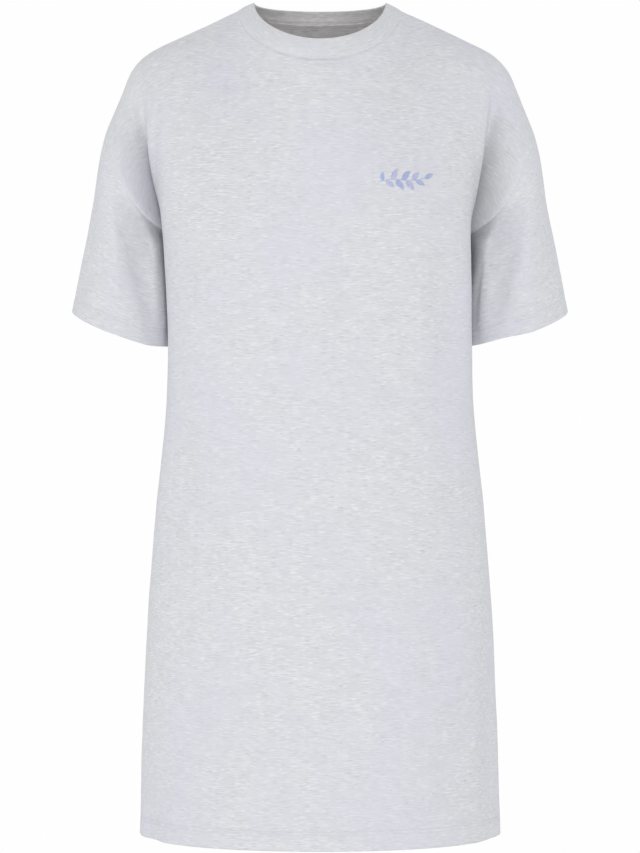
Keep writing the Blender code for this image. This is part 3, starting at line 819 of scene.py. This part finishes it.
# %% Normals that the pieces share along their seams
def shared_normals(grids):
    own = {name: normals(points, wrapped) for name, (points, wrapped) in grids.items()}
    places = np.concatenate([points.reshape(-1, 3) for points, wrapped in grids.values()])
    ways = np.concatenate([way.reshape(-1, 3) for way in own.values()])
    _, group = np.unique(np.round(places * 1e5), axis=0, return_inverse=True)
    group = group.ravel()
    total = np.zeros((group.max() + 1, 3))
    np.add.at(total, group, ways)
    total /= np.linalg.norm(total, axis=1, keepdims=True)
    agreed = total[group]
    longer = 1 / np.clip(np.sum(agreed * ways, axis=1), 0.7, 1.0)
    ends = np.cumsum([way.size // 3 for way in own.values()])[:-1]
    return {
        name: (way.reshape(own[name].shape), scale.reshape(own[name].shape[:2])[:, :, None])
        for name, way, scale in zip(own, np.split(agreed, ends), np.split(longer, ends))
    }


outwards = shared_normals(grids)
print("points with a normal:", sum(way[0].size // 3 for way in outwards.values()))

# %% Grooves, ridges and a slight unevenness
GROOVE_DEPTH = 0.00016
NECK_GROOVE_DEPTH = 0.0011
NECK_PUCKER = 0.0011  # more, in the middle of the front, where the seam pulls in
GROOVE_WIDTH = 0.0021
RIDGE_HEIGHT = 0.00005
RIDGE_PLACE = 0.0052
RIDGE_WIDTH = 0.0022
PUCKER_SIZE = 0.011
PUCKER_SHARE = 0.35
UNEVEN = ((0.055, 0.00055), (0.024, 0.00018))  # size of the lumps, height


def noise_at(points, size, seed):
    flat_points = points.reshape(-1, 3) / size + seed
    values = [noise.noise(Vector(place)) for place in flat_points.tolist()]
    return np.array(values).reshape(points.shape[:-1])


def bell(distance, place, width):
    return np.exp(-(((distance - place) / width) ** 2))


def seam_distances(name, points, wrapped):
    down = lengths_down(points)
    if name == "neckband":
        return [down[-1:] - down]
    if wrapped:
        around = np.arange(points.shape[1]) / points.shape[1]
        if name == "sleeve_right":
            around = around[::-1]
        under = int(np.argmin(np.abs(around - 0.5)))
        return [down, np.linalg.norm(points - points[:, under : under + 1], axis=2)]
    along = lengths_along(points)
    return [down, along, along[:, -1:] - along]


surface = {}
for name, (points, wrapped) in grids.items():
    way, longer = outwards[name]
    pucker = 1 + PUCKER_SHARE * noise_at(points, PUCKER_SIZE, 7.0)
    height = sum(tall * noise_at(points, size, 3.0) for size, tall in UNEVEN)
    out = np.abs(points[:, :, 0])
    at_neck = ease((NECK_OUT + 0.004 - out) / 0.006) * ease(-points[:, :, 1] / 0.03)
    groove = GROOVE_DEPTH + (NECK_GROOVE_DEPTH - GROOVE_DEPTH) * at_neck
    groove = groove + NECK_PUCKER * at_neck * ease((0.027 - out) / 0.008)
    for distance in seam_distances(name, points, wrapped):
        height = height - groove * pucker * bell(distance, 0, GROOVE_WIDTH)
        if name != "neckband":
            ridge = RIDGE_HEIGHT * (2 * pucker - 1) * bell(distance, RIDGE_PLACE, RIDGE_WIDTH)
            height = height + ridge
    surface[name] = points + way * height[:, :, None]
    print(f"{name}: from {height.min() * 1000:.2f} to {height.max() * 1000:.2f} mm")

# %% [markdown]
# ## Hems
# The bottom hem and the cuffs are turned up inside and held by two parallel rows of stitches.
# So the wall is twice as thick there, its edge is a soft round fold, and each stitch row presses
# a fine line into the cloth. The stitches themselves come later, as pieces of thread.

# %% Hem measures and stitch lines
CLOTH = 0.0010
BAND_CLOTH = 0.0024
HEM_THICKENS_OVER = 0.0015
BAND_THICKENS_OVER = 0.005
HEM_STITCHES = (0.0192, 0.0160)
CUFF_STITCHES = (0.0176, 0.0144)
STITCH_GROOVE = 0.0005
STITCH_GROOVE_WIDTH = 0.0012


def edge_distance(points):
    down = lengths_down(points)
    return down[-1:] - down


def thickness_of(name, points):
    if name == "neckband":
        fold = ease(edge_distance(points) / BAND_THICKENS_OVER)
        return CLOTH + (BAND_CLOTH - CLOTH) * fold
    depth = CUFF_HEM_DEPTH if name.startswith("sleeve") else HEM_DEPTH
    turned = ease((depth + HEM_STEP - edge_distance(points)) / HEM_THICKENS_OVER)
    return CLOTH * (1 + turned)


edge_stitches = {"front": HEM_STITCHES, "back": HEM_STITCHES}
edge_stitches |= {"sleeve_left": CUFF_STITCHES, "sleeve_right": CUFF_STITCHES}
for name, lines in edge_stitches.items():
    distance = edge_distance(surface[name])
    pressed = sum(bell(distance, line, STITCH_GROOVE_WIDTH) for line in lines)
    surface[name] = surface[name] - outwards[name][0] * (STITCH_GROOVE * pressed)[:, :, None]
    print(name, "hem pressed at", lines)

# %% A closed wall from a grid of outer points
CAP_ANGLES = (45.0, 90.0, 135.0)


def rounded_edge(outer, inner, towards):
    middle = (outer + inner) / 2
    radius = np.linalg.norm(outer - inner, axis=1, keepdims=True) / 2
    side = (outer - inner) / (2 * radius)
    turns = [np.radians(angle) for angle in CAP_ANGLES]
    return [middle + radius * (np.cos(turn) * side + np.sin(turn) * towards) for turn in turns]


def unit(vectors):
    return vectors / np.linalg.norm(vectors, axis=1, keepdims=True)


def cloth_wall(name, wrapped):
    outer, pattern = surface[name], flat[name]
    way, longer = outwards[name]
    inner = outer - way * longer * thickness_of(name, outer)[:, :, None]
    if name == "neckband":
        caps = rounded_edge(outer[0], inner[0], unit(outer[0] - outer[1]))[::-1]
        rows = [*outer, *inner[::-1], *caps, outer[0]]
        uv = [*pattern, *pattern[::-1], *[pattern[0]] * len(caps), pattern[0]]
    else:
        caps = rounded_edge(outer[-1], inner[-1], unit(outer[-1] - outer[-2]))
        rows = [*outer, *caps, *inner[::-1], outer[0]]
        uv = [*pattern, *[pattern[-1]] * len(caps), *pattern[::-1], pattern[0]]
    grid, uv = np.stack(rows), np.stack(uv)
    if wrapped:
        grid = np.concatenate([grid, grid[:, :1]], axis=1)
    else:
        folded = np.concatenate([outer, np.stack(caps), outer[::-1], outer[:1]])
        grid = np.concatenate([folded[:, :1], grid, folded[:, -1:]], axis=1)
        uv = np.concatenate([uv[:, :1], uv, uv[:, -1:]], axis=1)
    first_inner = len(outer) + (0 if name == "neckband" else len(caps))
    return grid, uv, range(first_inner, first_inner + len(inner) - 1)


def quad_corners(rows, columns):
    index = np.arange(rows * columns).reshape(rows, columns)
    corners = [index[:-1, :-1], index[1:, :-1], index[1:, 1:], index[:-1, 1:]]
    return np.stack(corners, axis=2).reshape(-1, 4)


def grid_mesh(name, grid, uv, inside_rows):
    rows, columns = grid.shape[:2]
    quads = quad_corners(rows, columns)
    data = bpy.data.meshes.new(name)
    data.from_pydata(grid.reshape(-1, 3).tolist(), [], quads.tolist())
    layer = data.uv_layers.new(name="pattern")
    layer.data.foreach_set("uv", uv.reshape(-1, 2)[quads.ravel()].ravel())
    inside = np.repeat(np.isin(np.arange(rows - 1), inside_rows), columns - 1)
    data.polygons.foreach_set("material_index", inside.astype(np.int32))
    work = bmesh.new()
    work.from_mesh(data)
    bmesh.ops.remove_doubles(work, verts=work.verts, dist=1e-6)
    bmesh.ops.recalc_face_normals(work, faces=work.faces)
    work.to_mesh(data)
    work.free()
    return data


def add_piece(name, data, material):
    piece = bpy.data.objects.new(name, data)
    bpy.context.scene.collection.objects.link(piece)
    data.materials.append(material)
    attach(piece, "root")
    return piece


def smooth_shading(piece, degrees):
    bpy.ops.object.select_all(action="DESELECT")
    piece.select_set(True)
    bpy.context.view_layer.objects.active = piece
    bpy.ops.object.shade_smooth_by_angle(angle=np.radians(degrees))
    piece.select_set(False)


# %% [markdown]
# ## The melange jersey
# Melange yarn is spun from light and darker fibres, so the knit shows short flecks that follow
# its rows, a few light and dark ones standing out, over soft cloudy patches. Noises do this,
# each stretched along the rows by a different amount. A knit's loops are under a
# millimetre wide: they go into the bump, as columns of small V shapes. The fibres that stand up
# from the surface catch the light at its edges, which is what the sheen is for.

# %% Helpers for materials
def new_material(name, roughness, sheen, specular=0.2):
    made = bpy.data.materials.new(name)
    made.use_nodes = True
    shader = made.node_tree.nodes["Principled BSDF"]
    shader.inputs["Roughness"].default_value = roughness
    shader.inputs["Specular IOR Level"].default_value = specular
    shader.inputs["Sheen Weight"].default_value = sheen
    shader.inputs["Sheen Roughness"].default_value = 0.5
    return made, made.node_tree, shader


def math_node(tree, operation, first, second=None):
    node = tree.nodes.new("ShaderNodeMath")
    node.operation = operation
    for socket, value in zip(node.inputs, (first, second)):
        if value is None:
            continue
        if isinstance(value, (int, float)):
            socket.default_value = value
        else:
            tree.links.new(value, socket)
    return node.outputs[0]


def about_zero(tree, value, amount):
    return math_node(tree, "MULTIPLY", math_node(tree, "SUBTRACT", value, 0.5), amount)


def stretched_noise(tree, place, across, down, detail, shift):
    mapping = tree.nodes.new("ShaderNodeMapping")
    mapping.inputs["Scale"].default_value = (across, down, 1.0)
    mapping.inputs["Location"].default_value = (shift, shift * 0.7, shift * 1.3)
    tree.links.new(place, mapping.inputs["Vector"])
    texture = tree.nodes.new("ShaderNodeTexNoise")
    texture.inputs["Scale"].default_value = 1.0
    texture.inputs["Detail"].default_value = detail
    texture.inputs["Roughness"].default_value = 0.6
    tree.links.new(mapping.outputs["Vector"], texture.inputs["Vector"])
    return texture.outputs["Fac"]


def ranged(tree, value, low, high, to_low, to_high):
    node = tree.nodes.new("ShaderNodeMapRange")
    node.interpolation_type = "SMOOTHSTEP"
    tree.links.new(value, node.inputs["Value"])
    for socket, number in zip(
        ("From Min", "From Max", "To Min", "To Max"), (low, high, to_low, to_high)
    ):
        node.inputs[socket].default_value = number
    return node.outputs["Result"]


def mixed(tree, factor, first, second):
    node = tree.nodes.new("ShaderNodeMix")
    node.data_type = "RGBA"
    tree.links.new(factor, node.inputs["Factor"])
    for socket, colour in ((node.inputs["A"], first), (node.inputs["B"], second)):
        if isinstance(colour, tuple):
            socket.default_value = colour
        else:
            tree.links.new(colour, socket)
    return node.outputs["Result"]


def bumped(tree, height, strength, distance, over=None):
    node = tree.nodes.new("ShaderNodeBump")
    node.inputs["Strength"].default_value = strength
    node.inputs["Distance"].default_value = distance
    tree.links.new(height, node.inputs["Height"])
    if over is not None:
        tree.links.new(over, node.inputs["Normal"])
    return node.outputs["Normal"]


# %% The jersey's colour and loops
RIGHT_SIDE = ((0.490, 0.500, 0.518, 1.0), (0.648, 0.655, 0.676, 1.0))  # darker, lighter fibre
# The wrong side of the knit, painted lighter than the face: painted light standing in for the light
# that falls into the neck hollow
WRONG_SIDE_PAINTED_LIGHTER = ((0.640, 0.622, 0.624, 1.0), (0.850, 0.835, 0.836, 1.0))
LAVENDER_FIBRE = (0.565, 0.567, 0.665, 1.0)
WALE = 0.00095
COURSE = 0.00075
JERSEY_NOISES = {
    # how many a metre across and down, detail, shift
    "streaks": (95.0, 640.0, 1.0, 0.0),
    "fine": (260.0, 1500.0, 1.0, 11.0),
    "cloudy": (34.0, 90.0, 2.0, 23.0),
    "patches": (9.0, 6.0, 2.0, 37.0),
    "gathered": (30.0, 48.0, 1.0, 91.0),
    "bright": (130.0, 820.0, 0.0, 51.0),
    "dark": (115.0, 900.0, 0.0, 77.0),
}


def knit_height(tree, place):
    split = tree.nodes.new("ShaderNodeSeparateXYZ")
    tree.links.new(place, split.inputs[0])
    column_place = math_node(tree, "DIVIDE", split.outputs["X"], WALE)
    from_middle = math_node(tree, "PINGPONG", column_place, 0.5)
    row_place = math_node(tree, "DIVIDE", split.outputs["Y"], COURSE)
    slanted = math_node(tree, "ADD", row_place, math_node(tree, "MULTIPLY", from_middle, 1.4))
    loop = math_node(tree, "SINE", math_node(tree, "MULTIPLY", slanted, 2 * np.pi))
    column_form = math_node(tree, "SINE", math_node(tree, "MULTIPLY", from_middle, 2 * np.pi))
    return math_node(tree, "ADD", column_form, math_node(tree, "MULTIPLY", loop, 0.35))


def jersey(name, fibres, fleck=1.0, lavender=0.45):
    made, tree, shader = new_material(name, roughness=0.92, sheen=0.12)
    uv = tree.nodes.new("ShaderNodeUVMap")
    uv.uv_map = "pattern"
    place = uv.outputs["UV"]
    noises = {part: stretched_noise(tree, place, *row) for part, row in JERSEY_NOISES.items()}
    strength = ranged(tree, noises["gathered"], 0.36, 0.64, 0.40, 1.60)
    streaks = about_zero(tree, noises["streaks"], 1.1 * fleck)
    fine = about_zero(tree, noises["fine"], 0.35 * fleck)
    light = math_node(tree, "MULTIPLY", math_node(tree, "ADD", streaks, fine), strength)
    light = math_node(tree, "ADD", light, about_zero(tree, noises["cloudy"], 0.55))
    bright = ranged(tree, noises["bright"], 0.62, 0.74, 0.0, 0.6 * fleck)
    dark = ranged(tree, noises["dark"], 0.64, 0.76, 0.0, 0.6 * fleck)
    light = math_node(tree, "SUBTRACT", math_node(tree, "ADD", light, bright), dark)
    grey = mixed(tree, math_node(tree, "ADD", light, 0.5), *fibres)
    tinted = ranged(tree, noises["patches"], 0.35, 0.75, 0.0, lavender)
    tree.links.new(mixed(tree, tinted, grey, LAVENDER_FIBRE), shader.inputs["Base Color"])
    loops = bumped(tree, knit_height(tree, place), 0.25, 0.00012)
    slubs = bumped(tree, noises["streaks"], 0.35, 0.0005, loops)
    tree.links.new(slubs, shader.inputs["Normal"])
    return made


jersey_cloth = jersey("jersey", RIGHT_SIDE, fleck=0.85)
band_cloth = jersey("band_jersey", RIGHT_SIDE, fleck=0.6, lavender=0.2)
# The inside faces carry the wrong side's colours, painted lighter as light inside the neck
jersey_inside_painted_lighter = jersey("jersey_inside_painted_lighter", WRONG_SIDE_PAINTED_LIGHTER, fleck=1.2, lavender=0.0)
print("materials:", jersey_cloth.name, band_cloth.name, jersey_inside_painted_lighter.name)

# %% Build the five pieces of cloth
for node, (points, wrapped) in grids.items():
    piece_name = f"{node}_cloth"
    cloth = add_piece(
        piece_name, grid_mesh(piece_name, *cloth_wall(node, wrapped)),
        band_cloth if node == "neckband" else jersey_cloth,
    )
    cloth.data.materials.append(jersey_inside_painted_lighter)
    smooth_shading(cloth, 60)
    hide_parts(node)
    count = sum(len(face.vertices) - 2 for face in cloth.data.polygons)
    print(f"{piece_name}: {count} triangles")

# %% [markdown]
# ## Stitches
# A twin-needle machine sews the hem and the cuffs with two parallel rows. One stitch is a small
# rounded length of thread. It is modelled once, from a sphere that is stretched and pressed
# flat, and then copied along each row by its place and its direction on the cloth.

# %% One stitch
STITCH_PITCH = 0.0031
STITCH_SIZE = (0.0025, 0.00048, 0.00036)  # length, width, height

bpy.ops.mesh.primitive_uv_sphere_add(segments=6, ring_count=5, radius=0.5)
one_stitch = bpy.context.object
one_stitch.name = "one_stitch"
bpy.ops.transform.rotate(value=np.pi / 2, orient_axis="Y", center_override=(0, 0, 0))
bpy.ops.object.transform_apply(location=True, rotation=True, scale=True)
# A sphere's corners can be numbered differently from run to run, so they are put in order
corners = np.array([tuple(v.co) for v in one_stitch.data.vertices]).round(6)
order = np.lexsort(corners.T)
stitch_points = corners[order]
number = np.argsort(order).tolist()
stitch_faces = []
for face in one_stitch.data.polygons:
    around = [number[corner] for corner in face.vertices]
    first = around.index(min(around))
    stitch_faces.append((*around[first:], *around[:first]))
stitch_faces.sort()
bpy.data.objects.remove(one_stitch)
print("one stitch:", len(stitch_faces), "faces")


def sewn(name, starts, ends, normals_there, width, height, lift, slot, material):
    ways = ends - starts
    lengths = np.linalg.norm(ways, axis=1, keepdims=True)
    ways = ways / lengths
    sides = np.cross(normals_there, ways)
    sides /= np.linalg.norm(sides, axis=1, keepdims=True)
    ups = np.cross(ways, sides)
    middles = (starts + ends) / 2 + ups * lift
    local = stitch_points
    points = (
        middles[:, None]
        + (ways * lengths)[:, None] * local[None, :, 0:1]
        + (sides * width)[:, None] * local[None, :, 1:2]
        + (ups * height)[:, None] * local[None, :, 2:3]
    )
    faces = [
        tuple(corner + k * len(local) for corner in face)
        for k in range(len(points))
        for face in stitch_faces
    ]
    data = bpy.data.meshes.new(name)
    data.from_pydata(points.reshape(-1, 3).tolist(), [], faces)
    data.shade_smooth()
    add_piece(name, data, material)


def thread_material(name, colours, scale, shift, **finish):
    made, tree, shader = new_material(name, **finish)
    where = tree.nodes.new("ShaderNodeTexCoord").outputs["Object"]
    fibre = stretched_noise(tree, where, scale, scale, 1.0, shift)
    tree.links.new(mixed(tree, fibre, *colours), shader.inputs["Base Color"])
    return made


# %% Rows of stitches on the hem and the cuffs
GREYS = ((0.50, 0.51, 0.54, 1.0), (0.66, 0.67, 0.70, 1.0))
thread = thread_material("grey_thread", GREYS, 900.0, 3.0, roughness=0.6, sheen=0.1)


def line_at(name, distance_up):
    both = np.concatenate([surface[name], outwards[name][0]], axis=2)[::-1]
    distance = edge_distance(surface[name])[::-1]
    return np.array([
        [np.interp(distance_up, distance[:, k], both[:, k, axis]) for axis in range(6)]
        for k in range(both.shape[1])
    ])


def stitch_row(name, distance_up, wrapped):
    together = line_at(name, distance_up)
    if wrapped:
        together = np.concatenate([together, together[:1]])
    steps = np.linalg.norm(np.diff(together[:, :3], axis=0), axis=1)
    along = np.concatenate([[0.0], np.cumsum(steps)])
    count = int(along[-1] // STITCH_PITCH)
    pitch = along[-1] / count
    gap = (pitch - STITCH_SIZE[0]) / 2
    begin = np.arange(count) * pitch + gap
    read = [
        np.stack([np.interp(at, along, together[:, k]) for k in range(6)], axis=1)
        for at in (begin, begin + STITCH_SIZE[0])
    ]
    return read[0][:, :3], read[1][:, :3], unit(read[0][:, 3:] + read[1][:, 3:])


for name, lines in edge_stitches.items():
    rows = [stitch_row(name, line, name.startswith("sleeve")) for line in lines]
    starts, ends, ups = (np.concatenate([row[k] for row in rows]) for k in range(3))
    sewn(
        f"{name}_stitches", starts, ends, ups, STITCH_SIZE[1], STITCH_SIZE[2],
        STITCH_SIZE[2] * 0.25, name, thread,
    )
    print(f"{name}: {len(starts)} stitches")

# %% [markdown]
# ## A stitched sprig on the chest
# The chest carries a small embroidered sprig of leaves in blue and lilac thread, a few
# centimetres wide. Each line of it is drawn flat, cut into short stitches, and laid on the
# cloth by casting a ray at the front, so every stitch sits on the knit and follows it.

# %% Draw the sprig flat
SPRIG_MIDDLE = (0.0855, -0.1890)
SPRIG_WIDTH = 0.048
SPRIG_RISE = 0.005
LEAF_LENGTH = 0.0112
LEAF_WIDTH = 0.0056
SATIN_PITCH = 0.00062
LEAVES = (
    # place along the stem, side of it, share of the length, angle from the stem, thread
    (0.06, 1, 0.90, 66, "blue"), (0.16, -1, 1.00, 58, "lilac"), (0.27, 1, 1.15, 56, "lilac"),
    (0.38, -1, 1.20, 54, "blue"), (0.49, 1, 1.22, 52, "blue"), (0.60, -1, 1.15, 50, "lilac"),
    (0.71, 1, 1.10, 46, "lilac"), (0.81, -1, 0.95, 42, "blue"), (0.99, 1, 0.95, 8, "blue"),
)


def stem(t):
    x = (t - 0.5) * SPRIG_WIDTH
    return np.stack([x, SPRIG_RISE * (t - 0.5) + 0.0016 * np.sin(np.pi * 2 * t)], axis=-1)


def satin_leaf(along, side, length, angle):
    root = stem(np.array(along))
    ahead = stem(np.array(along + 0.02)) - stem(np.array(along - 0.02))
    heading = np.arctan2(ahead[1], ahead[0]) + side * np.radians(angle)
    reach = LEAF_LENGTH * length
    count = int(reach / SATIN_PITCH)
    t = (np.arange(count) + 0.5) / count
    belly = LEAF_WIDTH * length / 2 * np.sin(np.pi * np.clip(t, 0, 1) ** 0.8)
    slant = 0.35 * belly
    one = np.stack([reach * t + slant, belly], axis=1)
    two = np.stack([reach * t - slant, -belly], axis=1)
    turn = np.array([[np.cos(heading), -np.sin(heading)], [np.sin(heading), np.cos(heading)]])
    return root + one @ turn.T, root + two @ turn.T


stem_marks = stem(np.linspace(-0.02, 0.97, 34))
threads = {"blue": [(stem_marks[:-1], stem_marks[1:])], "lilac": []}
for row in LEAVES:
    threads[row[-1]].append(satin_leaf(*row[:-1]))
print("stitches in the stem:", len(stem_marks) - 1, "leaves:", len(LEAVES))

# %% Sew the sprig onto the front
SPRIG_THREAD = 0.00070
SPRIG_FINISH = {"roughness": 0.45, "sheen": 0.15, "specular": 0.35}
SPRIG_COLOURS = {
    "blue": ((0.330, 0.400, 0.610, 1.0), (0.450, 0.520, 0.740, 1.0)),
    "lilac": ((0.420, 0.440, 0.640, 1.0), (0.540, 0.560, 0.770, 1.0)),
}
sprig_threads = {
    colour: thread_material(f"{colour}_thread", shades, 700.0, 5.0, **SPRIG_FINISH)
    for colour, shades in SPRIG_COLOURS.items()
}
front_tree = BVHTree.FromPolygons(
    surface["front"].reshape(-1, 3).tolist(), quad_corners(*surface["front"].shape[:2]).tolist()
)


def on_front(places):
    landed, facing = [], []
    for x, z in places + np.array(SPRIG_MIDDLE):
        place, normal, _, _ = front_tree.ray_cast(Vector((x, -1.0, z)), Vector((0.0, 1.0, 0.0)))
        landed.append(tuple(place))
        facing.append(tuple(normal if normal.y < 0 else -normal))
    return np.array(landed), np.array(facing)


for colour, lines in threads.items():
    first, ups = on_front(np.concatenate([line[0] for line in lines]))
    second, _ = on_front(np.concatenate([line[1] for line in lines]))
    sewn(
        f"chest_sprig_{colour}", first, second, ups,
        SPRIG_THREAD, SPRIG_THREAD * 0.8, SPRIG_THREAD * 0.25, "front", sprig_threads[colour],
    )
    print(f"{colour}: {len(first)} stitches")

# %% Finish with the standard view transform
bpy.context.scene.view_settings.view_transform = "Standard"
